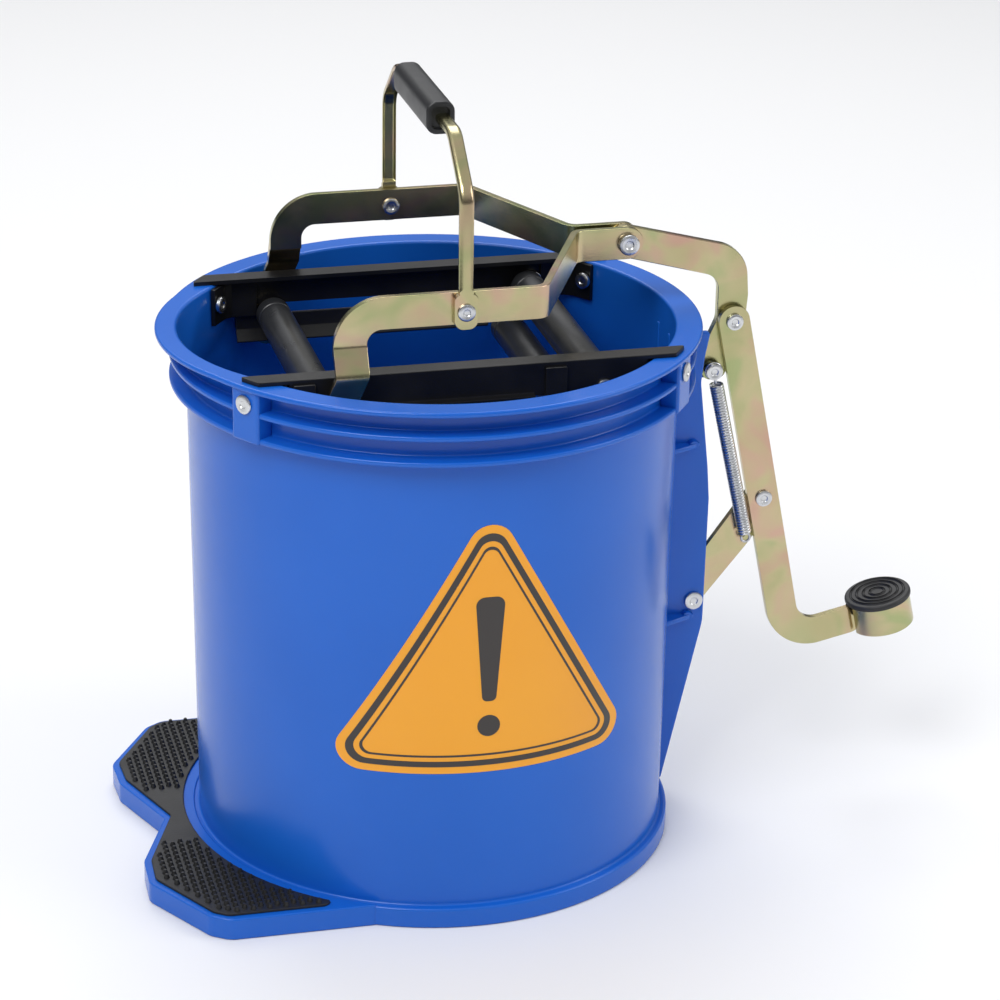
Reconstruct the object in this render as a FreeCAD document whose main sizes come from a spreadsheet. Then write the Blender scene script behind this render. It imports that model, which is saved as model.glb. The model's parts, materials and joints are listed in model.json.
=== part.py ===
import FreeCAD, Part
import math
import os
import re
import Sketcher

# Mop bucket with a foot-operated roller wringer, in millimetres.
# The origin is the centre of the bucket's base, on the floor. +Z is up, +X points from the
# bucket to the foot pedal, and the wringer is symmetric about the XZ plane except for the
# pedal linkage, whose bars lie side by side in the middle.

Vector = FreeCAD.Vector

doc = FreeCAD.newDocument("mop_bucket")
sheet = doc.addObject("Spreadsheet::Sheet", "Sizes")

# ---------------------------------------------------------------- driving dimensions

DIMENSIONS = [
    # bucket moulding
    ("rim_top", 315.0),
    ("lip_radius", 153.0),
    ("ridge_radius", 150.0),
    ("ridge_spacing", 14.7),
    ("ridge_thickness", 3.0),
    ("wall_top_radius", 140.6),
    ("wall_foot_radius", 137.3),
    ("wall", 3.0),
    ("foot_radius", 142.2),
    ("foot_height", 12.0),
    ("floor_top", 13.0),
    ("centre_foot_radius", 30.0),
    ("spout_radius", 120.0),
    ("spout_reach", 158.0),
    ("flare_radius", 108.0),
    ("flare_foot_radius", 99.5),
    ("flare_bottom", 288.0),
    ("pad_angle", 35.0),
    ("pad_width", 20.0),
    ("pad_face_radius", 151.0),
    ("pad_bottom", 282.0),
    ("rivet_z", 304.0),
    ("rivet_radius", 2.4),
    ("rivet_head_radius", 5.5),
    ("rivet_nut_radius", 5.0),

    # fins that carry the linkage
    ("fin_gap", 18.0),
    ("fin_thickness", 4.0),
    ("fin_reach", 164.5),
    ("gusset_thickness", 3.0),
    ("upper_gusset", 228.5),
    ("lower_gusset", 119.5),
    ("boss_radius", 3.5),
    ("lug_radius", 10.0),

    # foot tread
    ("tread_height", 13.0),
    ("tread_pad_thickness", 3.0),
    ("tread_pad_radius", 147.0),
    # wringer rails
    ("rail_web", 92.0),
    ("plate", 2.5),
    ("rail_half", 124.0),
    ("rail_trim_radius", 148.5),
    ("foot_flange_width", 5.5),
    ("foot_flange_thickness", 2.0),
    ("web_half", 100.0),
    ("flange_width", 12.0),
    ("rail_bottom", 298.4),
    ("guide_top", 291.9),
    ("guide_fold", 283.0),
    ("guide_bottom", 276.0),
    ("guide_left", 98.0),
    ("guide_right", 54.0),
    ("strap_width", 12.0),
    ("bracket_height", 22.0),
    ("fold_radius", 3.0),
    # rollers
    ("roller_radius", 10.0),
    ("roller_half", 81.0),
    ("axle_radius", 2.5),
    ("running", 0.05),
    ("side_plate_inner", 82.5),
    ("left_x", 77.5),
    ("left_z", 295.0),
    ("left_low_x", 65.0),
    ("left_low_z", 270.0),
    ("right_x", 76.0),
    ("right_z", 301.0),
    ("right_low_x", 64.0),
    ("right_low_z", 277.0),
    # yoke
    ("bar_width", 18.5),
    ("arm_thickness", 4.0),
    ("arm_y", 94.0),
    ("leg_y", 101.5),
    ("arm_bend_x", 40.5),
    ("joint_x", 81.0),
    ("end_plate_thickness", 3.5),
    ("rise", 16.5),
    ("slot_play", 1.6),
    ("slot_over", 0.4),
    ("bend_radius", 8.0),
    # linkage pivots
    ("bolt_x", 112.0),
    ("bolt_z", 353.5),
    ("anchor_x", 166.0),
    ("anchor_z", 272.5),
    ("knee_x", 177.5),
    ("knee_z", 302.0),
    ("heel_x", 200.0),
    ("heel_z", 190.0),
    ("root_x", 157.0),
    ("root_z", 130.5),
    ("crank_thickness", 5.0),
    ("lever_thickness", 4.0),
    ("pin_radius", 4.0),
    ("small_pin_radius", 3.0),
    ("link_play", 2.2),
    # pedal
    ("pedal_x", 278.3),
    ("pedal_y", -5.0),
    ("pedal_z", 109.8),
    ("pedal_tilt", 12.6),
    ("pedal_radius", 20.0),
    ("pedal_ring_radius", 19.0),
    ("pedal_ring_height", 17.0),
    ("pedal_pad_thickness", 3.5),
    ("curl_bend", 5.0),
    ("curl_end", 195.0),
    # carry handle
    ("handle_x", -4.5),
    ("handle_z", 352.5),
    ("handle_width", 8.0),
    ("handle_strip", 4.0),
    ("handle_gap", 0.4),
    ("handle_shoulder", 418.0),
    ("handle_bend", 16.0),
    ("handle_entry", 68.0),
    ("grip_z", 444.0),
    ("grip_half", 42.0),
    ("grip_width", 16.0),
    ("grip_height", 18.5),
    ("grip_corner", 5.0),
    ("grip_back", 1.5),
    # spring
    ("coil_radius", 4.0),
    ("coil_wire", 1.3),
    ("coil_y", -6.9),
    ("tab_x", 190.0),
    ("tab_z", 165.5),
    # label
    ("label_thickness", 0.5),
]

for row, (word, value) in enumerate(DIMENSIONS, start=1):
    sheet.set("A%d" % row, word)
    sheet.set("B%d" % row, str(value))
    sheet.setAlias("B%d" % row, word)
doc.recompute()

size = {word: float(getattr(sheet, word)) for word, value in DIMENSIONS}
WORDS = re.compile(r"\b(" + "|".join(sorted(size, key=len, reverse=True)) + r")\b")


# ---------------------------------------------------------------- helpers

def bind(item, prop, formula):
    """Drive one property from the sheet, with sheet words written plainly."""
    item.setExpression(prop, WORDS.sub(r"Sizes.\1", formula))


def place(item, x="0", y="0", z="0", turn=None):
    """Put an object at a formula position, turned by an optional rotation."""
    if turn is not None:
        item.Placement = FreeCAD.Placement(Vector(0, 0, 0), turn)
    bind(item, "Placement.Base.x", x)
    bind(item, "Placement.Base.y", y)
    bind(item, "Placement.Base.z", z)
    return item


def box(name, lengths, corner):
    """An upright block from its three lengths and its lowest corner."""
    item = doc.addObject("Part::Box", name)
    for prop, formula in zip(("Length", "Width", "Height"), lengths):
        bind(item, prop, formula)
    return place(item, *corner)


def disc(name, radius, height, base, turn=None):
    """A cylinder along +Z, or along another direction when it is turned."""
    item = doc.addObject("Part::Cylinder", name)
    bind(item, "Radius", radius)
    bind(item, "Height", height)
    return place(item, *base, turn=turn)


ALONG_Y = FreeCAD.Rotation(Vector(1, 0, 0), -90)


def rod(name, radius, start, end, x, z):
    """A cylinder along +Y between two formula stations."""
    return disc(name, radius, "(%s) - (%s)" % (end, start), (x, start, z), ALONG_Y)


def fuse(name, pieces):
    """One solid made of several."""
    item = doc.addObject("Part::MultiFuse", name)
    item.Shapes = pieces
    item.Refine = True
    return item


def cut(name, base, tool):
    """A solid less another."""
    item = doc.addObject("Part::Cut", name)
    item.Base = base
    item.Tool = tool
    return item


def common(name, pieces):
    """What several solids share."""
    item = doc.addObject("Part::MultiCommon", name)
    item.Shapes = pieces
    return item


def mirrored(name, source, normal=Vector(0, 1, 0)):
    """The same piece on the other side of the bucket."""
    item = doc.addObject("Part::Mirroring", name)
    item.Source = source
    item.Normal = normal
    return item


def rounded(points):
    """Closed outline through (x, y, radius) corners, as lines and tangent arcs."""
    count = len(points)
    starts = []
    ends = []
    middles = []
    for i in range(count):
        before = Vector(*points[i - 1][:2], 0)
        here = Vector(*points[i][:2], 0)
        after = Vector(*points[(i + 1) % count][:2], 0)
        radius = points[i][2]
        into = (here - before).normalize()
        away = (after - here).normalize()
        turn = into.getAngle(away)
        reach = radius * math.tan(turn / 2)
        starts.append(here - into * reach)
        ends.append(here + away * reach)
        inward = (away - into).normalize() if radius else Vector(0, 0, 0)
        depth = radius / math.cos(turn / 2) - radius
        middles.append(here + inward * depth)
    outline = []
    for i in range(count):
        if points[i][2]:
            outline.append(Part.Arc(starts[i], middles[i], ends[i]))
        nxt = (i + 1) % count
        if ends[i].distanceToPoint(starts[nxt]) > 1e-6:
            outline.append(Part.LineSegment(ends[i], starts[nxt]))
    return outline


def plate(name, plane, outline, thickness, offset, holes=()):
    """A padded sketch. On XZ it fills from offset towards -Y, on XY and YZ towards +Z and +X.

    holes is a list of (x, y, radius formula); each radius is bound to the sheet.
    """
    body = doc.addObject("PartDesign::Body", name)
    sketch = body.newObject("Sketcher::SketchObject", name + "_sketch")
    origin = [f for f in body.Origin.OriginFeatures if f.Role == plane + "_Plane"][0]
    sketch.AttachmentSupport = (origin, [""])
    sketch.MapMode = "FlatFace"
    sketch.addGeometry(outline, False)
    for x, y, radius in holes:
        circle = Part.Circle(Vector(x, y, 0), Vector(0, 0, 1), 1.0)
        index = sketch.addGeometry(circle, False)
        rule = sketch.addConstraint(Sketcher.Constraint("Radius", index, 1.0))
        bind(sketch, "Constraints[%d]" % rule, radius)
    pad = body.newObject("PartDesign::Pad", name + "_pad")
    pad.Profile = sketch
    bind(pad, "Length", thickness)
    body.Tip = pad
    axis = {"XY": "z", "XZ": "y", "YZ": "x"}[plane]
    bind(body, "Placement.Base." + axis, offset)
    return body


def strip(points, thickness, bend=0.0):
    """Closed outline of a bent strip of even thickness, with the bends' radius at its middle."""
    half = thickness / 2
    left = []
    right = []
    last = len(points) - 1
    for i, point in enumerate(points):
        here = Vector(*point, 0)
        before = Vector(*points[max(i - 1, 0)], 0)
        after = Vector(*points[min(i + 1, last)], 0)
        into = (here - before) if i else (after - here)
        away = (after - here) if i < last else into
        into = into.normalize()
        away = away.normalize()
        side = Vector(-into.y - away.y, into.x + away.x, 0).normalize()
        reach = half / math.cos(into.getAngle(away) / 2)
        radii = (0, 0)
        if bend and 0 < i < last:
            radii = (bend - half, bend + half)
            if into.x * away.y < into.y * away.x:
                radii = radii[::-1]
        left.append((here + side * reach, radii[0]))
        right.append((here - side * reach, radii[1]))
    ring = left + right[::-1]
    return rounded([(p.x, p.y, radius) for p, radius in ring])


def meeting(start, heading, other, other_heading):
    """Where two lines cross, each given by a point and a heading."""
    across = heading.x * other_heading.y - heading.y * other_heading.x
    gap = other - start
    return start + heading * ((gap.x * other_heading.y - gap.y * other_heading.x) / across)


# ---------------------------------------------------------------- bucket shell

wall_slope = (size["wall_top_radius"] - size["wall_foot_radius"]) / size["rim_top"]


def wall_at(z):
    """Outer wall radius at a height."""
    return size["wall_foot_radius"] + wall_slope * z


def make_shell():
    """Revolved moulding: foot ring, wall, floor, lip and the two ridges under it."""
    top = size["rim_top"]
    thick = size["ridge_thickness"]
    floor = size["floor_top"]
    foot = size["foot_radius"]
    foot_height = size["foot_height"]
    wall = size["wall"]
    flange_tops = [top - n * size["ridge_spacing"] for n in (2, 1, 0)]
    flange_radii = [size["ridge_radius"], size["ridge_radius"], size["lip_radius"]]
    points = [(0, 0), (size["centre_foot_radius"], 0), (size["centre_foot_radius"], floor - wall)]
    points += [(foot - wall, floor - wall), (foot - wall, 0), (foot, 0), (foot, foot_height)]
    points.append((wall_at(foot_height), foot_height))
    for flange_top, radius in zip(flange_tops, flange_radii):
        points.append((wall_at(flange_top - thick), flange_top - thick))
        points.append((radius, flange_top - thick))
        points.append((radius, flange_top))
        if flange_top < top:
            points.append((wall_at(flange_top), flange_top))
    points.append((wall_at(top) - wall, top))
    points.append((wall_at(floor) - wall, floor))
    points.append((0, floor))
    body = doc.addObject("PartDesign::Body", "shell_turned")
    sketch = body.newObject("Sketcher::SketchObject", "shell_profile")
    origin = [f for f in body.Origin.OriginFeatures if f.Role == "XZ_Plane"][0]
    sketch.AttachmentSupport = (origin, [""])
    sketch.MapMode = "FlatFace"
    sketch.addGeometry(rounded([(x, y, 0) for x, y in points]), False)
    turned = body.newObject("PartDesign::Revolution", "shell_revolution")
    turned.Profile = sketch
    turned.ReferenceAxis = (sketch, ["V_Axis"])
    turned.Angle = 360
    body.Tip = turned
    return body


def flare_cone(name, extra):
    """A cone about the spout's axis that widens up to the rim."""
    cone = doc.addObject("Part::Cone", name)
    bind(cone, "Radius1", "flare_foot_radius + %s" % extra)
    bind(cone, "Radius2", "flare_radius + %s" % extra)
    bind(cone, "Height", "rim_top - flare_bottom")
    place(cone, "spout_radius - spout_reach", "0", "flare_bottom")
    return cone


def make_spout():
    """The wall flares and the lip bulges over the left side, where the bucket pours."""
    bulge = disc("spout_bulge", "spout_radius", "ridge_thickness",
                 ("spout_radius - spout_reach", "0", "rim_top - ridge_thickness"))
    side = box("spout_side", ("lip_radius", "2 * lip_radius", "rim_top"),
               ("-1.2 * lip_radius", "-lip_radius", "0"))
    bore = disc("spout_bore", "wall_top_radius - wall", "rim_top", ("0", "0", "0"))
    outside = fuse("spout_outside", [bulge, flare_cone("spout_wall", "wall")])
    return cut("spout", common("spout_left", [outside, side]), bore)


def make_pads():
    """Flat pads that bridge the ridges where the wringer frame is riveted on."""
    pads = []
    for number, angle in enumerate(pad_angles()):
        pad = box("rivet_pad_%d" % number,
                  ("pad_face_radius - wall_top_radius + wall / 2", "pad_width", "rim_top - pad_bottom - 1"),
                  ("0", "0", "pad_bottom"))
        pad.Placement.Rotation = FreeCAD.Rotation(Vector(0, 0, 1), angle)
        along = "(wall_top_radius - wall / 2)"
        c = math.cos(math.radians(angle))
        s = math.sin(math.radians(angle))
        bind(pad, "Placement.Base.x", "%s * %.6f + pad_width / 2 * %.6f" % (along, c, s))
        bind(pad, "Placement.Base.y", "%s * %.6f - pad_width / 2 * %.6f" % (along, s, c))
        pads.append(pad)
    return pads


def pad_angles():
    """Bearings of the four rivets, anticlockwise from +X."""
    angle = size["pad_angle"]
    return [angle, 180 - angle, 180 + angle, -angle]


def make_gusset(name, side, level):
    """A web and a round boss on the outer face of a fin."""
    wall_edge = 134
    web = [(wall_edge + 4, side * 12, 0), (157, side * 12, 0), (157, side * 15, 0),
           (wall_edge + 2, side * 24, 0), (wall_edge, side * 24, 0)]
    face = "(fin_gap / 2 + fin_thickness)"
    stations = (face + " - 1", face + " + 3")
    if side < 0:
        stations = ("-%s - 3" % face, "1 - " + face)
    boss = rod(name + "_boss", "boss_radius", *stations, "153", level + " + gusset_thickness / 2")
    return [plate(name, "XY", rounded(web), "gusset_thickness", level), boss]


def make_fins():
    """Two upright fins on the right with a gap between them for the linkage."""
    reach = size["fin_reach"]
    inside = size["wall_foot_radius"] - 1
    profile = [(inside, 14, 0), (inside + 4.7, 14, 0), (reach - 1, 116, 30), (reach, 195, 0)]
    profile += [(reach - 1.5, 215, 0), (reach - 7.5, 268, 20), (reach - 6, 283, 0)]
    profile += [(reach - 3, 299, 2), (inside, 299, 0)]
    front = plate("fin_front_plate", "XZ", rounded(profile), "fin_thickness", "-fin_gap / 2")
    rear = plate("fin_rear_plate", "XZ", rounded(profile), "fin_thickness", "fin_gap / 2 + fin_thickness")
    lug = rod("pin_lug", "lug_radius", "fin_gap / 2", "fin_gap / 2 + fin_thickness", "anchor_x", "anchor_z")
    arm = box("pin_lug_arm", ("anchor_x - 150", "fin_thickness", "2 * lug_radius"),
              ("150", "fin_gap / 2", "anchor_z - lug_radius"))
    gussets = []
    for level in ("upper_gusset", "lower_gusset"):
        gussets += make_gusset(level + "_front", -1, level)
        gussets += make_gusset(level + "_rear", 1, level)
    return [front, rear, lug, arm] + gussets


TREAD = [(-60, 129, 0), (-143, 129, 12), (-153.5, 122, 12), (-181, 76, 12), (-180, 50, 12), (-160.5, 0, 5)]


def symmetric(points):
    """An outline given for +Y, closed through its mirror image."""
    return points + [(x, -y, r) for x, y, r in points[::-1] if y > 0]


def make_tread():
    """Two-lobed foot tread moulded on the base, opposite the pedal."""
    slab = plate("tread_slab", "XY", rounded(symmetric(TREAD)), "tread_height", "0")
    bore = disc("tread_bore", "foot_radius - wall / 2", "2 * tread_height", ("0", "0", "-tread_height / 2"))
    return cut("tread", slab, bore)


def radial_rod(name, radius, start, end, angle, z):
    """A cylinder pointing away from the bucket's axis."""
    c = math.cos(math.radians(angle))
    s = math.sin(math.radians(angle))
    turn = FreeCAD.Rotation(Vector(0, 0, 1), Vector(c, s, 0))
    base = ("(%s) * %.6f" % (start, c), "(%s) * %.6f" % (start, s), z)
    return disc(name, radius, "(%s) - (%s)" % (end, start), base, turn)


nodes = []


def keep(item, label):
    """Name a finished sub-part, which is also the name of its file."""
    item.Label = label
    nodes.append(item)
    return item


shell_solid = fuse("shell_solid", [make_shell(), make_spout(), make_tread()] + make_pads() + make_fins())
RIVET_HOLE = "rivet_radius + running"
shell_holes = [radial_rod("rivet_hole_%d" % n, RIVET_HOLE, "130", "160", angle, "rivet_z")
               for n, angle in enumerate(pad_angles())]
shell_holes.append(rod("link_pin_hole", "small_pin_radius + running / 2", "-20", "20", "root_x", "root_z"))
shell_holes.append(rod("crank_pin_hole", "pin_radius + running / 2", "-8.9", "20", "anchor_x", "anchor_z"))
shell_holes.append(flare_cone("flare_hollow", "0"))
shell = cut("shell", shell_solid, fuse("shell_hole_tools", shell_holes))


def band(name, low, high):
    """The part of the moulding between two heights; the bands meet face to face."""
    reach = "foot_radius + 60"
    block = box(name + "_block", ("2 * (%s)" % reach, "2 * (%s)" % reach, "(%s) - (%s)" % (high, low)),
                ("-(%s)" % reach, "-(%s)" % reach, low))
    return common(name + "_band", [shell, block])


# The moulding is kept as three bands, so that each one is a simple ring.
RIM_START = "pad_bottom - 1"
keep(band("base", "-1", "tread_height"), "bucket_base")
keep(band("wall", "tread_height", RIM_START), "bucket_wall")
keep(band("rim", RIM_START, "rim_top + 1"), "bucket_rim")


# ---------------------------------------------------------------- tread pad and label

PAD = [(-84, 125, 6), (-143, 125, 9), (-151, 119.5, 9), (-177, 75, 10), (-176, 52, 10), (-156.5, 0, 5)]
pad_slab = plate("tread_pad_slab", "XY", rounded(symmetric(PAD)), "tread_pad_thickness", "tread_height")
pad_bore = disc("tread_pad_bore", "tread_pad_radius", "2 * tread_height", ("0", "0", "tread_height / 2"))
keep(cut("tread_pad_cut", pad_slab, pad_bore), "tread_pad")

LABEL = [(1.5, 258.5, 13), (91.9, 95.5, 13), (-88.9, 95.5, 13)]


def make_label():
    """A thin rounded triangle that follows the wall."""
    outer = doc.addObject("Part::Cone", "label_outer")
    bind(outer, "Radius1", "wall_foot_radius + label_thickness")
    bind(outer, "Radius2", "wall_top_radius + label_thickness")
    bind(outer, "Height", "rim_top")
    inner = doc.addObject("Part::Cone", "label_inner")
    bind(inner, "Radius1", "wall_foot_radius")
    bind(inner, "Radius2", "wall_top_radius")
    bind(inner, "Height", "rim_top")
    prism = plate("label_prism", "XZ", rounded(LABEL), "wall_top_radius + 10", "-40")
    return common("label_patch", [cut("label_tube", outer, inner), prism])


keep(make_label(), "front_label")


# ---------------------------------------------------------------- rails, guide bars and brackets

def make_rail():
    """Front rail: a top flange that rests on the rim, a web and an outward bottom flange."""
    top = box("rail_top_blank", ("2 * rail_half", "flange_width", "plate"),
              ("-rail_half", "-rail_web", "rim_top"))
    lip = disc("rail_top_trim", "rail_trim_radius", "4 * plate", ("0", "0", "rim_top - plate"))
    web = box("rail_web_plate", ("2 * web_half", "plate", "rim_top + plate - rail_bottom"),
              ("-web_half", "-rail_web", "rail_bottom"))
    low = box("rail_low", ("116", "foot_flange_width", "foot_flange_thickness"),
              ("-80", "-rail_web - foot_flange_width", "rail_bottom"))
    hole = rod("rail_axle_hole", "axle_radius + running / 2", "-rail_web - 1", "-80", "right_x", "right_z")
    return cut("rail", fuse("rail_solid", [common("rail_top", [top, lip]), web, low]), hole)


def make_guide():
    """Front guide bar: an upright strip whose lower edge is folded inwards."""
    web = size["rail_web"]
    half = size["plate"] / 2
    line = [(-web + half, size["guide_top"]), (-web + half, size["guide_fold"]),
            (-web + half + 4.2, size["guide_bottom"])]
    outline = strip(line, size["plate"], size["fold_radius"])
    return plate("guide", "YZ", outline, "guide_left + guide_right", "-guide_left")


def make_strap(name, left):
    """An upright strap that ties the rail and the guide bar together."""
    return box(name, ("strap_width", "plate", "rim_top - guide_fold"),
               (left, "-rail_web - plate", "guide_fold"))


def make_bracket():
    """Bent plate from the right end of the front rail to the bucket wall."""
    angle = math.radians(size["pad_angle"])
    radius = wall_at(size["rivet_z"]) - size["wall"] - 0.4 - size["plate"] / 2
    middle = Vector(radius * math.cos(angle), -radius * math.sin(angle), 0)
    along = Vector(math.sin(angle), math.cos(angle), 0)
    inside = -(size["rail_web"] - 1.5 * size["plate"])
    near = middle - along * 9
    far = middle + along * 4.6
    line = [(86, inside), (101.2, inside), (near.x, near.y), (far.x, far.y)]
    outline = strip(line, size["plate"], size["fold_radius"])
    slab = plate("bracket_slab", "XY", outline, "bracket_height", "rim_top - bracket_height - 1")
    hole = radial_rod("bracket_hole", RIVET_HOLE, "120", "150", -size["pad_angle"], "rivet_z")
    return cut("bracket", slab, hole)


X_AXIS = Vector(1, 0, 0)
rail = keep(make_rail(), "rail_front")
keep(mirrored("rail_mirror", rail), "rail_rear")
guide = keep(make_guide(), "guide_bar_front")
keep(mirrored("guide_mirror", guide), "guide_bar_rear")
for side, left in (("left", "-guide_left"), ("right", "guide_right - strap_width")):
    strap = keep(make_strap("strap_" + side, left), "rail_strap_front_" + side)
    keep(mirrored("strap_mirror_" + side, strap), "rail_strap_rear_" + side)
bracket = keep(make_bracket(), "rim_bracket_front_right")
keep(mirrored("bracket_mirror_a", bracket), "rim_bracket_rear_right")
bracket_left = keep(mirrored("bracket_mirror_b", bracket, X_AXIS), "rim_bracket_front_left")
keep(mirrored("bracket_mirror_c", bracket_left), "rim_bracket_rear_left")

RIVET_NAMES = ["rear_right", "rear_left", "front_left", "front_right"]
for name, angle in zip(RIVET_NAMES, pad_angles()):
    face = "pad_face_radius"
    shank = radial_rod("rim_shank_" + name, "rivet_radius", "132.6", face + " + 1", angle, "rivet_z")
    head = radial_rod("rim_head_" + name, "rivet_head_radius", face, face + " + 1.6", angle, "rivet_z")
    tail = radial_rod("rim_tail_" + name, "rivet_nut_radius", "wall_top_radius - 9", "wall_top_radius - 6.2",
                      angle, "rivet_z")
    keep(fuse("rim_rivet_" + name + "_solid", [shank, head, tail]), "rim_rivet_" + name)


# ---------------------------------------------------------------- rollers, axles and side plates

SIDE_PLATE_END = 8.5


def side_plate(name, upper, lower):
    """Flat plate that joins an upper and a lower axle at the front ends of the rollers."""
    (ux, uz), (lx, lz) = upper, lower
    along = Vector(ux - lx, uz - lz, 0).normalize() * SIDE_PLATE_END
    across = Vector(-along.y, along.x, 0)
    corners = [Vector(ux, uz, 0) + along + across, Vector(ux, uz, 0) + along - across,
               Vector(lx, lz, 0) - along - across, Vector(lx, lz, 0) - along + across]
    outline = rounded([(p.x, p.y, SIDE_PLATE_END - 0.1) for p in corners])
    holes = [(ux, uz, "axle_radius + running / 2"), (lx, lz, "axle_radius + running / 2")]
    return plate(name, "XZ", outline, "plate", "-side_plate_inner", holes)


def roller(name, x, z):
    """Plastic roller that turns freely on its axle."""
    drum = rod(name + "_drum", "roller_radius", "-roller_half", "roller_half", x, z)
    bore = rod(name + "_bore", "axle_radius + running", "-roller_half - 1", "roller_half + 1", x, z)
    return cut(name + "_cut", drum, bore)


def axle(name, half, head_start, x, z, head_radius):
    """Steel axle with a head outside the plate at each end."""
    shaft = rod(name + "_shaft", "axle_radius", "-(%s)" % half, half, x, z)
    rear = rod(name + "_rear", head_radius, head_start, half, x, z)
    front = rod(name + "_front", head_radius, "-(%s)" % half, "-(%s)" % head_start, x, z)
    return fuse(name + "_solid", [shaft, rear, front])


LEFT_PAIR = (("-left_x", "left_z"), ("-left_low_x", "left_low_z"))
RIGHT_PAIR = (("right_x", "right_z"), ("right_low_x", "right_low_z"))
left_upper = (-size["left_x"], size["left_z"])
left_lower = (-size["left_low_x"], size["left_low_z"])
right_upper = (size["right_x"], size["right_z"])
right_lower = (size["right_low_x"], size["right_low_z"])

carriage_plate = keep(side_plate("carriage_plate", left_upper, left_lower), "carriage_plate_front")
keep(mirrored("carriage_plate_mirror", carriage_plate), "carriage_plate_rear")
bearing_plate = keep(side_plate("bearing_plate", right_upper, right_lower), "bearing_plate_front")
keep(mirrored("bearing_plate_mirror", bearing_plate), "bearing_plate_rear")

plate_outer = "side_plate_inner + plate"
leg_outer = "leg_y + arm_thickness / 2 + 0.4"
keep(axle("axle_a", leg_outer + " + 2", leg_outer, *LEFT_PAIR[0], "5.5"), "axle_left_upper")
keep(axle("axle_b", plate_outer + " + 1.8", plate_outer, *LEFT_PAIR[1], "4"), "axle_left_lower")
keep(axle("axle_c", "rail_web + 1.8", "rail_web", *RIGHT_PAIR[0], "4.5"), "axle_right_upper")
keep(axle("axle_d", plate_outer + " + 1.8", plate_outer, *RIGHT_PAIR[1], "4"), "axle_right_lower")

for label, (x, z) in (("roller_left_upper", LEFT_PAIR[0]), ("roller_left_lower", LEFT_PAIR[1]),
                      ("roller_right_upper", RIGHT_PAIR[0]), ("roller_right_lower", RIGHT_PAIR[1])):
    keep(roller(label, x, z), label)

for side in ("front", "rear"):
    inner = "side_plate_inner + plate" if side == "rear" else "plate - rail_web"
    outer = "rail_web - plate" if side == "rear" else "-side_plate_inner - plate"
    keep(rod("plate_spacer_" + side, "4", inner, outer, "right_x + 6", "right_z + 3"), "plate_spacer_" + side)


# ---------------------------------------------------------------- yoke

def make_arm():
    """Front arm: a flat bar that runs down outside the rail and in to the joint bolt."""
    half = size["bar_width"] / 2
    end_radius = half - 0.1
    top = size["bolt_z"] + half
    low = size["bolt_z"] - half
    shoulder = -67.3
    shoulder_z = 320
    leg = -size["left_x"]
    pin = size["left_z"]
    foot = pin - size["rise"] - 9
    end = size["bolt_x"] + half
    side = [(shoulder - half, shoulder_z, 6), (shoulder - half, top, 28), (end, top, end_radius),
            (end, low, end_radius), (shoulder + half, low, 8), (shoulder + half, shoulder_z, 6),
            (leg + half, pin + 2, 8), (leg + half, foot, end_radius), (leg - half, foot, end_radius),
            (leg - half, pin + 2, 8)]
    silhouette = plate("arm_silhouette", "XZ", rounded(side), "110", "0")
    thick = size["arm_thickness"]
    middle = -(size["crank_thickness"] + size["end_plate_thickness"] + 1) / 2
    plan_line = [(-90, -size["arm_y"]), (size["arm_bend_x"], -size["arm_y"]), (size["joint_x"], middle),
                 (end + 2, middle)]
    plan = plate("arm_plan", "XY", strip(plan_line, thick, size["bend_radius"]), "40", "330")
    leg_line = [(-size["arm_y"], 345), (-size["arm_y"], 335), (-size["leg_y"], 321), (-size["leg_y"], 260)]
    legs = plate("arm_leg", "YZ", strip(leg_line, thick, size["bend_radius"]), "60", "-105")
    body = common("arm_body", [fuse("arm_blank", [plan, legs]), silhouette])
    slot = "(axle_radius + slot_play)"
    slot_foot = "(left_z - rise - slot_over)"
    slot_ends = [rod("slot_top", slot, "-110", "-90", "-left_x", "left_z + slot_over"),
                 rod("slot_low", slot, "-110", "-90", "-left_x", slot_foot)]
    slot_side = box("slot_side", ("2 * " + slot, "20", "rise + 2 * slot_over"),
                    ("-left_x - " + slot, "-110", slot_foot))
    holes = [rod("arm_bolt_hole", "pin_radius + running / 2", "-20", "20", "bolt_x", "bolt_z"),
             rod("arm_handle_hole", "small_pin_radius + running / 2", "-110", "-80", "handle_x", "handle_z")]
    return cut("arm", body, fuse("arm_tools", slot_ends + [slot_side] + holes))


arm = keep(make_arm(), "yoke_arm_front")
keep(mirrored("arm_mirror", arm), "yoke_arm_rear")

arm_face = "(crank_thickness + 2 * end_plate_thickness + 2) / 2"
bolt = [rod("bolt_shank", "pin_radius", "-%s - 0.5" % arm_face, arm_face + " + 5", "bolt_x", "bolt_z"),
        rod("bolt_head", "6", "-%s - 3.6" % arm_face, "-%s" % arm_face, "bolt_x", "bolt_z")]
keep(fuse("yoke_bolt_solid", bolt), "yoke_bolt")
NUT_CORNER = 7.0
nut_outline = [(size["bolt_x"] + NUT_CORNER * math.cos(math.radians(60 * n)),
                size["bolt_z"] + NUT_CORNER * math.sin(math.radians(60 * n)), 0) for n in range(6)]
nut_hole = [(size["bolt_x"], size["bolt_z"], "pin_radius + running / 2")]
keep(plate("yoke_nut_body", "XZ", rounded(nut_outline), "3.8", arm_face + " + 3.8", nut_hole), "yoke_nut")

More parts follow.
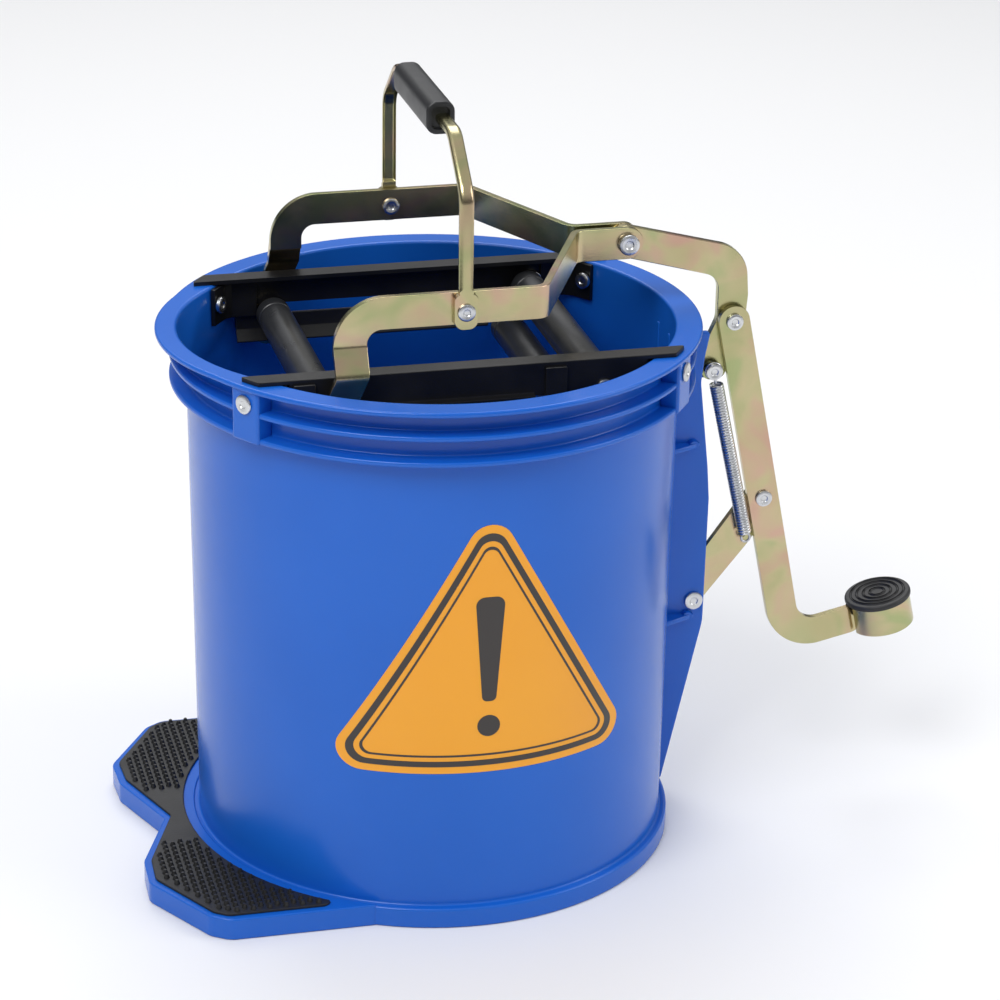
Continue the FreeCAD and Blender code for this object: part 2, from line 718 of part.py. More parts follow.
for side in ("front", "rear"):
    inner = "(arm_y - arm_thickness / 2)"
    outer = "(arm_y + arm_thickness / 2 + handle_strip + handle_gap)"
    stations = [(inner + " - 1.5", outer + " + 1.5", "small_pin_radius"), (inner + " - 1.5", inner, "5"),
                (outer, outer + " + 1.5", "5")]
    rods = []
    for n, (start, end, radius) in enumerate(stations):
        low, high = (start, end) if side == "rear" else ("-(%s)" % end, "-(%s)" % start)
        rods.append(rod("handle_rivet_%s_%d" % (side, n), radius, low, high, "handle_x", "handle_z"))
    keep(fuse("handle_rivet_%s_solid" % side, rods), "handle_rivet_" + side)


# ---------------------------------------------------------------- crank, foot lever and link

def make_crank():
    """Bent bar from the joint bolt over the rim and down to its fixed pin."""
    bx = size["bolt_x"]
    bz = size["bolt_z"]
    ax = size["anchor_x"]
    az = size["anchor_z"]
    half = size["bar_width"] / 2
    slope = math.radians(-14.2)
    along = Vector(math.cos(slope), math.sin(slope), 0) * half
    across = Vector(-along.y, along.x, 0)
    start = Vector(bx, bz, 0)
    upper = start - along + across
    lower = start - along - across
    knee = size["knee_x"]
    outline = [(upper.x, upper.y, half - 0.1), (knee + 7, bz - 9, 22), (knee + 9, bz - 37, 8),
               (knee + 7.5, size["knee_z"] - 6, 14), (ax + 7, az - 7, 6.5), (ax - 7, az - 7, 6.5),
               (ax - 5.5, az + 13, 8), (knee - 9.3, size["knee_z"] + 1, 12), (knee - 9.3, bz - 25, 10),
               (lower.x, lower.y, half - 0.1)]
    holes = [(bx, bz, "pin_radius + running"), (ax, az, "pin_radius + running"),
             (knee, size["knee_z"], "small_pin_radius + running / 2")]
    return plate("crank", "XZ", rounded(outline), "crank_thickness", "crank_thickness / 2", holes)


TILTED = FreeCAD.Rotation(Vector(0, 1, 0), -size["pedal_tilt"])
tilt_sin = math.sin(math.radians(size["pedal_tilt"]))
tilt_cos = math.cos(math.radians(size["pedal_tilt"]))


def pedal_station(start):
    """A point on the pedal's tilted axis, as formulas."""
    x = "pedal_x - (%s) * %.6f" % (start, tilt_sin)
    z = "pedal_z + (%s) * %.6f" % (start, tilt_cos)
    return (x, "pedal_y", z)


def pedal_disc(name, radius, start, height):
    """A cylinder on the pedal's tilted axis, from a station along it."""
    return disc(name, radius, height, pedal_station(start), TILTED)


def arc(middle, radius, first, last):
    """An arc about a point between two bearings."""
    points = []
    for bearing in (first, (first + last) / 2, last):
        turn = math.radians(bearing)
        points.append(middle + Vector(math.cos(turn), math.sin(turn), 0) * radius)
    return Part.Arc(*points)


CURL_START = -27.0


def make_curl():
    """The lever's end: the strip bends back, then runs round the pedal to a narrow slit."""
    half = size["lever_thickness"] / 2
    ring = size["pedal_ring_radius"] - half
    bend = size["curl_bend"]
    centre = Vector(0, 0, 0)
    bend_centre = Vector(-math.sqrt((ring + bend) ** 2 - bend ** 2), bend, 0)
    contact = math.degrees(math.atan2(bend, bend_centre.x))
    end = size["curl_end"] - 360
    outer_ring = arc(centre, ring + half, end, contact)
    inner_ring = arc(centre, ring - half, contact, end)
    outer_bend = arc(bend_centre, bend - half, contact - 180, -90)
    inner_bend = arc(bend_centre, bend + half, -90, contact - 180)
    start_low = Vector(CURL_START, -half, 0)
    start_high = Vector(CURL_START, half, 0)
    outline = [outer_ring, outer_bend, Part.LineSegment(outer_bend.EndPoint, start_high),
               Part.LineSegment(start_high, start_low), Part.LineSegment(start_low, inner_bend.StartPoint),
               inner_bend, inner_ring, Part.LineSegment(inner_ring.EndPoint, outer_ring.StartPoint)]
    curl = plate("lever_curl", "XY", outline, "pedal_ring_height", "0")
    return place(curl, *pedal_station("-pedal_ring_height / 2"), turn=TILTED)


def make_lever():
    """Flat bar with a bend at its foot; its end runs on round the pedal as a curl."""
    knee = Vector(size["knee_x"], size["knee_z"], 0)
    half = size["bar_width"] / 2
    down = (Vector(size["heel_x"], size["heel_z"], 0) - knee).normalize() * half
    across = Vector(-down.y, down.x, 0)
    left = knee - down - across
    right = knee - down + across
    run = Vector(tilt_cos, tilt_sin, 0)
    rise = Vector(-tilt_sin, tilt_cos, 0) * (size["pedal_ring_height"] / 2)
    pedal = Vector(size["pedal_x"], size["pedal_z"], 0)
    reach_low = pedal - rise + run * (CURL_START + 3)
    reach_high = pedal + rise + run * (CURL_START + 3)
    heel = meeting(left, down, reach_low, run)
    inner = meeting(right, down, reach_high, run)
    outline = [(left.x, left.y, half - 0.1), (heel.x, heel.y, 29), (reach_low.x, reach_low.y, 0),
               (reach_high.x, reach_high.y, 0), (inner.x, inner.y, 12), (right.x, right.y, half - 0.1)]
    holes = [(knee.x, knee.y, "small_pin_radius + running"),
             (size["heel_x"], size["heel_z"], "small_pin_radius + running / 2")]
    bar = plate("lever_bar", "XZ", rounded(outline), "lever_thickness", "-crank_thickness / 2 - 0.5", holes)
    return fuse("lever", [bar, make_curl()])


def make_link():
    """Flat link between the fins and the foot lever, with a tab for the spring."""
    start = Vector(size["root_x"], size["root_z"], 0)
    end = Vector(size["heel_x"], size["heel_z"], 0)
    course = (end - start).normalize()
    along = course * 9
    across = Vector(-along.y, along.x, 0)
    tab = Vector(size["tab_x"], size["tab_z"], 0)
    out = Vector(course.y, -course.x, 0) * 5.5
    step = course * 5.5
    corners = [(start - along + across, 8.9), (start - along - across, 8.9), (tab + out - step, 4),
               (tab + out + step, 4), (end + along - across, 8.9), (end + along + across, 8.9)]
    outline = [(p.x, p.y, radius) for p, radius in corners]
    holes = [(start.x, start.y, "small_pin_radius + running"), (end.x, end.y, "small_pin_radius + link_play"),
             (tab.x, tab.y, "coil_wire")]
    offset = "lever_thickness - crank_thickness / 2"
    return plate("link", "XZ", rounded(outline), "lever_thickness", offset, holes)


keep(make_crank(), "crank_bar")
keep(make_lever(), "foot_lever")
keep(make_link(), "link_bar")

crank_back = "crank_thickness / 2"
lever_front = "(crank_thickness / 2 + 0.5 + lever_thickness)"
head_top = "-%s - 1.8" % lever_front
head_foot = "-%s" % lever_front
knee_rods = [rod("knee_shank", "small_pin_radius", head_top, crank_back + " + 1.5", "knee_x", "knee_z"),
             rod("knee_head", "5", head_top, head_foot, "knee_x", "knee_z"),
             rod("knee_tail", "4.5", crank_back, crank_back + " + 1.5", "knee_x", "knee_z")]
keep(fuse("knee_rivet_solid", knee_rods), "knee_rivet")

link_back = "(lever_thickness - crank_thickness / 2)"
lever_rods = [rod("lever_shank", "small_pin_radius", head_top, link_back + " + 2", "heel_x", "heel_z"),
              rod("lever_head", "5", head_top, head_foot, "heel_x", "heel_z"),
              rod("lever_tail", "7", link_back + " + 0.4", link_back + " + 2", "heel_x", "heel_z")]
keep(fuse("lever_rivet_solid", lever_rods), "lever_rivet")

fin_out = "(fin_gap / 2 + fin_thickness)"
crank_rods = [rod("crank_pin_shank", "pin_radius", "-9", fin_out + " + 1", "anchor_x", "anchor_z"),
              rod("crank_pin_shoulder", "6", crank_back + " + 0.4", "fin_gap / 2", "anchor_x", "anchor_z"),
              rod("crank_pin_front", "5", "-9.6", "-8.4", "anchor_x", "anchor_z"),
              rod("crank_pin_head", "6.5", fin_out, fin_out + " + 2", "anchor_x", "anchor_z")]
keep(fuse("crank_pin_solid", crank_rods), "crank_pin")

link_rods = [rod("link_pin_shank", "small_pin_radius", "-%s - 1" % fin_out, fin_out + " + 1",
                 "root_x", "root_z"),
             rod("link_pin_front", "5.5", "-%s - 2" % fin_out, "-%s" % fin_out, "root_x", "root_z"),
             rod("link_pin_rear", "5.5", fin_out, fin_out + " + 2", "root_x", "root_z")]
keep(fuse("link_pin_solid", link_rods), "link_pin")


# ---------------------------------------------------------------- pedal

pad_top = pedal_disc("pedal_pad_top", "pedal_radius", "pedal_ring_height / 2", "pedal_pad_thickness")
plug_radius = "pedal_ring_radius - lever_thickness - running"
pad_plug = pedal_disc("pedal_pad_plug", plug_radius, "0", "pedal_ring_height / 2")
keep(fuse("pedal_pad_solid", [pad_top, pad_plug]), "pedal_pad")


# ---------------------------------------------------------------- return spring

def make_spring():
    """Close-wound extension spring with a straight wire to its pin and to the link's tab."""
    top = Vector(size["anchor_x"], size["coil_y"], size["anchor_z"])
    low = Vector(size["tab_x"], size["coil_y"], size["tab_z"])
    along = (low - top).normalize()
    length = top.distanceToPoint(low)
    first = 11.0
    last = 9.0
    radius = size["coil_radius"]
    wound = length - first - last
    coil = Part.makeCylinder(radius, wound, top + along * first, along)
    bore = Part.makeCylinder(radius - size["coil_wire"], wound - 2, top + along * (first + 1), along)
    wire = size["coil_wire"] / 2
    hook_top = Part.makeCylinder(wire, first - 3.2, top + along * 4.2, along)
    hook_low = Part.makeCylinder(wire, last - 1, top + along * (length - last - 1), along)
    solid = coil.cut(bore).fuse([hook_top, hook_low]).removeSplitter()
    item = doc.addObject("Part::Feature", "spring")
    item.Shape = solid
    return item


keep(make_spring(), "return_spring")


# ---------------------------------------------------------------- carry handle

def make_bail():
    """Bent strip with a foot riveted outside each arm and the grip across its top."""
    inner_y = size["arm_y"] + size["arm_thickness"] / 2 + size["handle_gap"]
    foot_y = inner_y + size["handle_strip"] / 2
    foot = (foot_y, size["handle_z"])
    shoulder = (foot_y, size["handle_shoulder"])
    half_line = [foot, shoulder, (size["handle_entry"], size["grip_z"])]
    line = half_line + [(-y, z) for y, z in half_line[::-1]]
    outline = strip(line, size["handle_strip"], size["handle_bend"])
    bow = plate("bail_bow", "YZ", outline, "handle_width", "handle_x - handle_width / 2")
    x = size["handle_x"]
    z = size["handle_z"]
    foot = rounded([(x - 6.5, z - 10, 5), (x + 6.5, z - 10, 5), (x + 6.5, z + 10, 3), (x - 6.5, z + 10, 3)])
    front = "-arm_y - arm_thickness / 2 - handle_gap"
    rear = "arm_y + arm_thickness / 2 + handle_gap + handle_strip"
    feet = [plate("bail_foot_front", "XZ", foot, "handle_strip", front),
            plate("bail_foot_rear", "XZ", foot, "handle_strip", rear)]
    hole = rod("bail_hole", "small_pin_radius + running", "-110", "110", "handle_x", "handle_z")
    return cut("bail", fuse("bail_solid", [bow] + feet), hole)


def make_grip():
    """Moulded grip of rounded square section, with a slot through it for the strip."""
    x = size["handle_x"] - size["grip_back"]
    z = size["grip_z"]
    wide = size["grip_width"] / 2
    high = size["grip_height"] / 2
    corner = size["grip_corner"]
    section = rounded([(x - wide, z - high, corner), (x + wide, z - high, corner),
                       (x + wide, z + high, corner), (x - wide, z + high, corner)])
    block = plate("grip_block", "XZ", section, "2 * grip_half", "grip_half")
    bore = box("grip_bore", ("handle_width + 0.02", "2 * grip_half + 10", "handle_strip + 0.02"),
               ("handle_x - handle_width / 2 - 0.01", "-grip_half - 5", "grip_z - handle_strip / 2 - 0.01"))
    return cut("grip", block, bore)


keep(make_bail(), "carry_bail")
keep(make_grip(), "carry_grip")



# ---------------------------------------------------------------- checks and files

doc.recompute()
for item in doc.Objects:
    if "Invalid" in item.State or "Error" in item.State:
        raise RuntimeError("%s did not build: %s" % (item.Label, item.State))
os.makedirs("parts", exist_ok=True)
for item in nodes:
    if item.Shape.isNull() or not item.Shape.isValid():
        raise RuntimeError(item.Label + " has no valid shape")
    item.Shape.exportStep(os.path.join("parts", item.Label + ".step"))
    bounds = item.Shape.BoundBox
    print("%-26s %d %9.0f mm3  X %.1f..%.1f  Y %.1f..%.1f  Z %.1f..%.1f" % (
        item.Label, len(item.Shape.Solids), item.Shape.Volume, bounds.XMin, bounds.XMax,
        bounds.YMin, bounds.YMax, bounds.ZMin, bounds.ZMax))
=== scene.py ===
import json
import math

import bmesh
import bpy
from mathutils import Matrix, Vector

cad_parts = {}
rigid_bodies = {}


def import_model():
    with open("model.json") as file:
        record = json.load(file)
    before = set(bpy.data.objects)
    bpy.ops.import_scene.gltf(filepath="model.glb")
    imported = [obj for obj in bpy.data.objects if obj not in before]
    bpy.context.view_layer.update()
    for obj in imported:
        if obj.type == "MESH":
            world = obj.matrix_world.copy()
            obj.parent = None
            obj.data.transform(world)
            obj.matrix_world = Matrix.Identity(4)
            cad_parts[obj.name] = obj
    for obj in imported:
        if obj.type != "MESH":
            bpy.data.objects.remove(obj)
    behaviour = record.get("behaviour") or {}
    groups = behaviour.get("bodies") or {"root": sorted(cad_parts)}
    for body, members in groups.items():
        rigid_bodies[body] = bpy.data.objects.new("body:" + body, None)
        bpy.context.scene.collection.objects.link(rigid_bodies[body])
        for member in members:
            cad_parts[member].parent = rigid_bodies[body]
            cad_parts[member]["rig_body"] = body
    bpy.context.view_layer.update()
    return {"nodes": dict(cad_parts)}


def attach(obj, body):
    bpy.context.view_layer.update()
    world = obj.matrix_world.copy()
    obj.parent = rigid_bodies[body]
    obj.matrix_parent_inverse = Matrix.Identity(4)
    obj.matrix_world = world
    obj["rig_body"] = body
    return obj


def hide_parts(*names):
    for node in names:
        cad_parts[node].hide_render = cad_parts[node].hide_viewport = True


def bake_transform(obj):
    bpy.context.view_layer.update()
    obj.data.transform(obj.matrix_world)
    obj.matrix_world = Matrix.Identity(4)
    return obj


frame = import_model()
nodes = frame["nodes"]
MM = 0.001

# ---------------------------------------------------------------- camera, floor and light
# A long lens from the front left, a little above the rim, over a pale studio floor with one
# large soft light overhead, a fill from each side and an even pale world.

AIM = Vector((0, 0, 0.2027))
BEARING = math.radians(-13)
HEIGHT = math.radians(22.45)
DISTANCE = 1.991
back = Vector((math.sin(BEARING) * math.cos(HEIGHT), -math.cos(BEARING) * math.cos(HEIGHT), math.sin(HEIGHT)))
camera = bpy.data.objects.new("camera", bpy.data.cameras.new("camera"))
bpy.context.scene.collection.objects.link(camera)
camera.location = AIM + back * DISTANCE
turned = (-back).to_track_quat("-Z", "Y").to_matrix() @ Matrix.Rotation(math.radians(0.45), 3, "Z")
camera.rotation_euler = turned.to_euler()
camera.data.sensor_width = 36
camera.data.lens = 123.6
camera.data.shift_x = 0.0687
camera.data.clip_start = 0.05
camera.data.clip_end = 50
bpy.context.scene.camera = camera


def plain(name, colour, roughness, metallic=0.0):
    """A material of one even colour."""
    material = bpy.data.materials.new(name)
    material.use_nodes = True
    shader = material.node_tree.nodes["Principled BSDF"]
    shader.inputs["Base Color"].default_value = (*colour, 1)
    shader.inputs["Roughness"].default_value = roughness
    shader.inputs["Metallic"].default_value = metallic
    return material


def shown(name, work, material, smooth=0.0):
    """A bmesh turned into an object of the scene, shaded smooth where its edges are gentler than an angle."""
    for face in work.faces:
        face.smooth = smooth > 0
    for edge in work.edges:
        if edge.calc_face_angle(0) > smooth:
            edge.smooth = False
    mesh = bpy.data.meshes.new(name)
    work.to_mesh(mesh)
    work.free()
    mesh.materials.append(material)
    thing = bpy.data.objects.new(name, mesh)
    bpy.context.scene.collection.objects.link(thing)
    return thing


floor = bmesh.new()
bmesh.ops.create_grid(floor, x_segments=1, y_segments=1, size=12)
floor_thing = shown("floor", floor, plain("studio_floor", (0.86, 0.86, 0.865), 0.7))
floor_thing.location.z = -0.0002
for name, place, size, watts in (("key", (-1.3, -1.3, 2.4), 1.4, 44), ("fill", (2.2, -0.9, 1.3), 1.2, 16),
                                 ("rear", (0.2, 1.6, 2.4), 1.8, 30)):
    lamp = bpy.data.objects.new(name, bpy.data.lights.new(name, "AREA"))
    lamp.data.size = size
    lamp.data.energy = watts
    lamp.location = place
    lamp.rotation_euler = (Vector(place) - Vector((0, 0, 0.2))).to_track_quat("Z", "Y").to_euler()
    bpy.context.scene.collection.objects.link(lamp)
bpy.context.scene.view_settings.view_transform = "Standard"
world = bpy.data.worlds.new("studio")
bpy.context.scene.world = world
world.use_nodes = True
sky = world.node_tree.nodes
heading = sky.new("ShaderNodeTexCoord")
parts = sky.new("ShaderNodeSeparateXYZ")
shade = sky.new("ShaderNodeValToRGB")
shade.color_ramp.elements[0].position = 0.10
shade.color_ramp.elements[0].color = (0.06, 0.065, 0.08, 1)
shade.color_ramp.elements[1].position = 0.50
shade.color_ramp.elements[1].color = (0.97, 0.98, 1.0, 1)
world.node_tree.links.new(heading.outputs["Generated"], parts.inputs["Vector"])
world.node_tree.links.new(parts.outputs["Z"], shade.inputs["Fac"])
path = sky.new("ShaderNodeLightPath")
seen = sky.new("ShaderNodeMix")
seen.data_type = "RGBA"
seen.inputs["B"].default_value = (1.1, 1.1, 1.12, 1)
world.node_tree.links.new(path.outputs["Is Camera Ray"], seen.inputs["Factor"])
world.node_tree.links.new(shade.outputs["Color"], seen.inputs["A"])
world.node_tree.links.new(seen.outputs["Result"], sky["Background"].inputs["Color"])
sky["Background"].inputs["Strength"].default_value = 0.62


# ---------------------------------------------------------------- bucket moulding
# The bucket is one injection moulding in blue polypropylene, with a satin skin. It is turned
# here from its section; the spout bulge, rivet pads, fins and tread are moulded on.

RIM = 315.0
LIP = 153.0
RIDGE = 150.0
WALL_TOP = 140.6
WALL_FOOT = 137.3
WALL = 3.0
FLOOR_TOP = 13.0
RING = 142.2
RING_HEIGHT = 12.0
RIDGE_STEP = 14.7
RIDGE_THICK = 3.0


def wall_at(z):
    """Outer radius of the bucket's wall at a height."""
    return WALL_FOOT + (WALL_TOP - WALL_FOOT) * z / RIM


def surface_group():
    """Shared finish: fine height, broad colour drift and roughness drift over a surface."""
    group = bpy.data.node_groups.new("worn_surface", "ShaderNodeTree")
    for name in ("Base", "Second"):
        group.interface.new_socket(name, in_out="INPUT", socket_type="NodeSocketColor")
    for name in ("Drift", "Patch Scale", "Grain Scale", "Roughness", "Roughness Drift", "Grain"):
        group.interface.new_socket(name, in_out="INPUT", socket_type="NodeSocketFloat")
    for name, kind in (("Color", "Color"), ("Roughness", "Float"), ("Normal", "Vector")):
        group.interface.new_socket(name, in_out="OUTPUT", socket_type="NodeSocket" + kind)
    inside = group.nodes.new("NodeGroupInput")
    outside = group.nodes.new("NodeGroupOutput")
    coords = group.nodes.new("ShaderNodeTexCoord")
    link = group.links.new
    patch = group.nodes.new("ShaderNodeTexNoise")
    patch.inputs["Detail"].default_value = 3
    link(coords.outputs["Object"], patch.inputs["Vector"])
    link(inside.outputs["Patch Scale"], patch.inputs["Scale"])
    ramp = group.nodes.new("ShaderNodeMapRange")
    ramp.inputs["From Min"].default_value = 0.35
    ramp.inputs["From Max"].default_value = 0.65
    link(patch.outputs["Fac"], ramp.inputs["Value"])
    amount = group.nodes.new("ShaderNodeMath")
    amount.operation = "MULTIPLY"
    link(ramp.outputs["Result"], amount.inputs[0])
    link(inside.outputs["Drift"], amount.inputs[1])
    mix = group.nodes.new("ShaderNodeMix")
    mix.data_type = "RGBA"
    link(amount.outputs["Value"], mix.inputs["Factor"])
    link(inside.outputs["Base"], mix.inputs["A"])
    link(inside.outputs["Second"], mix.inputs["B"])
    link(mix.outputs["Result"], outside.inputs["Color"])
    smear = group.nodes.new("ShaderNodeTexNoise")
    smear.inputs["Scale"].default_value = 60
    smear.inputs["Detail"].default_value = 4
    link(coords.outputs["Object"], smear.inputs["Vector"])
    centred = group.nodes.new("ShaderNodeMath")
    centred.operation = "SUBTRACT"
    centred.inputs[1].default_value = 0.5
    link(smear.outputs["Fac"], centred.inputs[0])
    rough = group.nodes.new("ShaderNodeMath")
    rough.operation = "MULTIPLY_ADD"
    link(centred.outputs["Value"], rough.inputs[0])
    link(inside.outputs["Roughness Drift"], rough.inputs[1])
    link(inside.outputs["Roughness"], rough.inputs[2])
    link(rough.outputs["Value"], outside.inputs["Roughness"])
    grain = group.nodes.new("ShaderNodeTexNoise")
    grain.inputs["Detail"].default_value = 2
    link(coords.outputs["Object"], grain.inputs["Vector"])
    link(inside.outputs["Grain Scale"], grain.inputs["Scale"])
    bump = group.nodes.new("ShaderNodeBump")
    bump.inputs["Distance"].default_value = 0.0004
    link(grain.outputs["Fac"], bump.inputs["Height"])
    link(inside.outputs["Grain"], bump.inputs["Strength"])
    link(bump.outputs["Normal"], outside.inputs["Normal"])
    return group


worn_surface = surface_group()


def finish_of(name, base, second, drift, patch, grain_scale, roughness, rough_drift, grain, metallic=0.0):
    """A material whose colour, gloss and grain drift over the surface."""
    material = plain(name, base, roughness, metallic)
    tree = material.node_tree
    shader = tree.nodes["Principled BSDF"]
    surface = tree.nodes.new("ShaderNodeGroup")
    surface.node_tree = worn_surface
    values = {"Base": (*base, 1), "Second": (*second, 1), "Drift": drift, "Patch Scale": patch,
              "Grain Scale": grain_scale, "Roughness": roughness, "Roughness Drift": rough_drift, "Grain": grain}
    for word, value in values.items():
        surface.inputs[word].default_value = value
    tree.links.new(surface.outputs["Color"], shader.inputs["Base Color"])
    tree.links.new(surface.outputs["Roughness"], shader.inputs["Roughness"])
    tree.links.new(surface.outputs["Normal"], shader.inputs["Normal"])
    return material


DEEP_BLUE = (0.006, 0.112, 0.54)
LIGHTER_BLUE = (0.010, 0.128, 0.59)
bucket_blue = finish_of("bucket_blue", DEEP_BLUE, LIGHTER_BLUE, 0.6, 9.0, 260.0, 0.24, 0.08, 0.05)
blue_shader = bucket_blue.node_tree.nodes["Principled BSDF"]
blue_shader.inputs["Subsurface Weight"].default_value = 0.04
blue_shader.inputs["Subsurface Radius"].default_value = (0.002, 0.003, 0.008)
blue_shader.inputs["Specular IOR Level"].default_value = 0.4


def turned_mesh(section, steps):
    """A bmesh spun about Z from a closed section of (radius, height) points in millimetres."""
    work = bmesh.new()
    points = [work.verts.new((r * MM, 0, z * MM)) for r, z in section]
    edges = [work.edges.new(pair) for pair in zip(points, points[1:] + points[:1])]
    bmesh.ops.spin(work, geom=points + edges, cent=(0, 0, 0), axis=(0, 0, 1), angle=2 * math.pi,
                   steps=steps, use_merge=True)
    bmesh.ops.remove_doubles(work, verts=work.verts[:], dist=1e-6)
    bmesh.ops.recalc_face_normals(work, faces=work.faces[:])
    return work


def soft_corner(before, corner, after, radius, steps=4):
    """Points of a rounded corner between two straight runs of a section."""
    before, corner, after = Vector(before), Vector(corner), Vector(after)
    into = (corner - before).normalized()
    away = (after - corner).normalized()
    turn = into.angle(away)
    reach = min(radius * math.tan(turn / 2), (corner - before).length * 0.49, (after - corner).length * 0.49)
    start = corner - into * reach
    centre = corner + (away - into).normalized() * (reach / math.sin(turn / 2))
    side = 1 if into.cross(away) > 0 else -1
    return [centre + Matrix.Rotation(side * turn * n / steps, 2) @ (start - centre) for n in range(steps + 1)]


def rounded_section(points, radii):
    """A closed section with its corners rounded; a radius of 0 keeps a corner sharp."""
    result = []
    for i, (point, radius) in enumerate(zip(points, radii)):
        if radius:
            arc = soft_corner(points[i - 1], point, points[(i + 1) % len(points)], radius)
            before = arc[0] + (Vector(points[i - 1]) - arc[0]).normalized() * 0.25
            after = arc[-1] + (Vector(points[(i + 1) % len(points)]) - arc[-1]).normalized() * 0.25
            result += [tuple(p) for p in [before] + arc + [after]]
        else:
            result.append(point)
    return result


profile = [(0.01, FLOOR_TOP), (wall_at(13) - WALL, FLOOR_TOP)]
profile += [(wall_at(z) - WALL, z) for z in (287, 290, 293, 296, 299, 302, 305, 308, 311)]
LIP_FOOT = RIM - RIDGE_THICK
profile += [(wall_at(RIM) - WALL, RIM), (LIP, RIM), (LIP, LIP_FOOT), (wall_at(LIP_FOOT), LIP_FOOT)]
profile += [(wall_at(z), z) for z in (310, 308, 306, 304, 302)]
corner_radii = [0, 5] + [0] * 9 + [1.6, 1.2, 1.0, 0.7] + [0] * 5
for number in (1, 2):
    high = RIM - number * RIDGE_STEP
    low = high - RIDGE_THICK
    profile += [(wall_at(high), high), (RIDGE, high), (RIDGE, low), (wall_at(high), low)]
    corner_radii += [1.2, 1.1, 1.0, 1.2]
UNDERSIDE = FLOOR_TOP - WALL
CENTRE_FOOT = 30.0
profile += [(wall_at(RING_HEIGHT), RING_HEIGHT), (RING, RING_HEIGHT), (RING, 0), (RING - WALL, 0)]
profile += [(RING - WALL, UNDERSIDE), (CENTRE_FOOT, UNDERSIDE), (CENTRE_FOOT, 0), (0.01, 0)]
corner_radii += [1.2, 1.5, 1.0, 1.0, 1.5, 1.5, 1.0, 0]
shell = turned_mesh(rounded_section(profile, corner_radii), 240)
SPOUT_X = -38.0
FLARE_FOOT = 99.5
FLARE_RIM = 108.0
FLARE_START = 288.0
SPOUT_LIP = 120.0


def spout_reach(angle, radius):
    """Distance from the axis to the spout's circle, whose centre lies left of the axis."""
    return SPOUT_X * math.cos(angle) + math.sqrt(radius ** 2 - (SPOUT_X * math.sin(angle)) ** 2)


def larger(a, b, blend=1.2):
    """The larger of two radii, with a soft crease where they meet."""
    return (a + b + math.hypot(a - b, blend)) / 2 if abs(a - b) < 8 * blend else max(a, b)


for vert in shell.verts:
    radius, z = math.hypot(vert.co.x, vert.co.y) / MM, vert.co.z / MM
    angle = math.atan2(vert.co.y, vert.co.x)
    if vert.co.x > 0 or z < FLARE_START or radius < 100 or abs(math.sin(angle)) > 0.95:
        continue
    rise = (z - FLARE_START) / (RIM - FLARE_START)
    flare = spout_reach(angle, FLARE_FOOT + (FLARE_RIM - FLARE_FOOT) * rise)
    if radius < 139.4:
        new = larger(wall_at(z) - WALL, flare) + radius - wall_at(z) + WALL
    elif z > 311 and radius > 149:
        new = larger(LIP, spout_reach(angle, SPOUT_LIP), 0.5) + radius - LIP
    elif z > 300.2 and radius < 148:
        new = larger(wall_at(z), flare + WALL) + radius - wall_at(z)
    else:
        continue
    vert.co = Vector((new * math.cos(angle), new * math.sin(angle), z)) * MM
moulding = shown("bucket_moulding", shell, bucket_blue, math.radians(35))
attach(moulding, "bucket")
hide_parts("bucket_base", "bucket_wall", "bucket_rim")


def outline_points(corners, steps=6):
    """Points round an outline given as (x, y, radius) corners."""
    result = []
    count = len(corners)
    for i, (x, y, radius) in enumerate(corners):
        if radius:
            before, after = corners[i - 1][:2], corners[(i + 1) % count][:2]
            result += [tuple(p) for p in soft_corner(before, (x, y), after, radius, steps)]
        else:
            result.append((x, y))
    return result


def slab(points, to_place, depth, bevel=0.0, segments=3):
    """A flat outline, placed by a function, then extruded and bevelled; sizes in millimetres."""
    work = bmesh.new()
    rim = [work.verts.new(to_place(x, y) * MM) for x, y in points]
    face = work.faces.new(rim)
    grown = bmesh.ops.extrude_face_region(work, geom=[face])
    moved = [v for v in grown["geom"] if isinstance(v, bmesh.types.BMVert)]
    bmesh.ops.translate(work, verts=moved, vec=Vector(depth) * MM)
    bmesh.ops.recalc_face_normals(work, faces=work.faces[:])
    if bevel:
        ease(work, bevel, segments)
    return work


def ease(work, width, segments=3, sharper=50, chosen=None):
    """Round the sharp edges, and keep the flats beside them flat."""
    edges = [e for e in chosen or work.edges if e.calc_face_angle(0) > math.radians(sharper)]
    made = bmesh.ops.bevel(work, geom=edges, offset=width * MM, affect="EDGES", segments=segments, profile=0.5,
                           material=-1, clamp_overlap=True)
    rounded = set(made["faces"])
    for edge in work.edges:
        if len({face in rounded for face in edge.link_faces}) > 1:
            edge.smooth = False


def as_piece(name, work, material, body, smooth=math.radians(35), replaced=()):
    """Turn a bmesh into a shown piece that rides on a body."""
    thing = shown(name, work, material, smooth)
    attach(thing, body)
    if replaced:
        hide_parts(*replaced)
    return thing


def on_xz(y):
    return lambda a, b: Vector((a, y, b))


def on_xy(z):
    return lambda a, b: Vector((a, b, z))


PAD_BEARINGS = (35, 145, 215, -35)
for number, bearing in enumerate(PAD_BEARINGS):
    turn = Matrix.Rotation(math.radians(bearing), 3, "Z")
    block = slab([(139.5, -10), (151, -10), (151, 10), (139.5, 10)], on_xy(282), (0, 0, 31), 1.6)
    bmesh.ops.rotate(block, verts=block.verts[:], matrix=turn, cent=(0, 0, 0))
    as_piece("rivet_pad_%d" % number, block, bucket_blue, "bucket")

